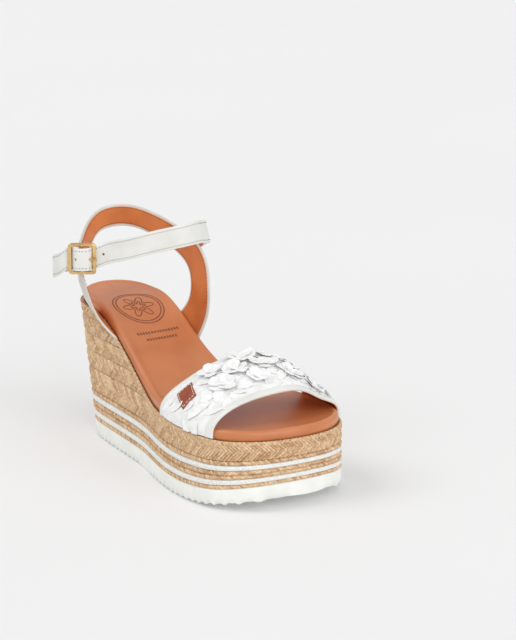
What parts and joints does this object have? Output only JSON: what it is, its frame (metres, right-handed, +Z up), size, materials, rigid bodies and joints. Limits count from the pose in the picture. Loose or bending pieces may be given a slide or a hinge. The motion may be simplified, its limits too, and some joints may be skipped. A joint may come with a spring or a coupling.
{
  "type": "wedge sandal",
  "caption": "Open toe wedge sandal for the right foot with a jute wrapped platform, petal trimmed front band, heel strap and buckled ankle strap.",
  "frame": {"origin": "on the ground, on the flat land under the middle of the sole", "axes": "+Y towards the heel, +X towards the inner side of the foot, +Z up"},
  "size_m": [0.1131, 0.2441, 0.1561],
  "materials": {
    "outsole_white": "matte moulded EVA and rubber",
    "jute": "twisted and braided natural jute",
    "white_cord": "smooth white cord",
    "wedge_core": "cork and EVA filler",
    "board": "fibre insole board",
    "foam": "soft latex foam",
    "tan_leather": "smooth tan leather",
    "white_leather": "smooth white leather",
    "petal_cloth": "light white organza and cotton petals",
    "gold": "polished pale gold",
    "brown_leather": "brown leather tag",
    "white_tape": "white elastic tape"
  },
  "bodies": {
    "sandal": {"outsole": "outsole_white", "wedge_core": "wedge_core", "rope_1_jute": "jute", "rope_2_white": "white_cord", "rope_3_jute": "jute", "rope_4_jute": "jute", "rope_5_white": "white_cord", "rope_6_jute": "jute", "braid_1": "jute", "braid_2": "jute", "braid_3": "jute", "braid_4": "jute", "braid_5": "jute", "insole_board": "board", "footbed_foam": "foam", "footbed_cover": "tan_leather", "band_outer": "white_leather", "band_lining": "tan_leather", "band_binding_rear": "white_leather", "band_binding_front": "white_leather", "side_tag": "brown_leather", "petals": "petal_cloth", "heel_strap_outer": "white_leather", "heel_strap_lining": "tan_leather", "ankle_strap_end_outer": "white_leather", "ankle_strap_end_lining": "tan_leather", "buckle_tab": "white_tape"},
    "ankle_strap": {"ankle_strap_outer": "white_leather", "ankle_strap_lining": "tan_leather", "strap_tail_outer": "white_leather", "strap_tail_lining": "tan_leather"},
    "buckle": {"buckle_frame": "gold"},
    "prong": {"buckle_prong": "gold"}
  },
  "joints": [
    {"name": "ankle_strap_swing", "type": "hinge", "parent": "sandal", "child": "ankle_strap", "pos_m": [0.0375, 0.0462, 0.1437], "axis": [0, 0, 1], "range_deg": [0, 100], "deforming": ["strap_tail_outer", "strap_tail_lining"]},
    {"name": "buckle_swing", "type": "hinge", "parent": "sandal", "child": "buckle", "pos_m": [-0.05, 0.0645, 0.1315], "axis": [0, 0, 1], "range_deg": [-30, 30]},
    {"name": "prong_lift", "type": "hinge", "parent": "buckle", "child": "prong", "pos_m": [-0.05, 0.0645, 0.1315], "axis": [0, 0, -1], "range_deg": [0, 70]}
  ]
}
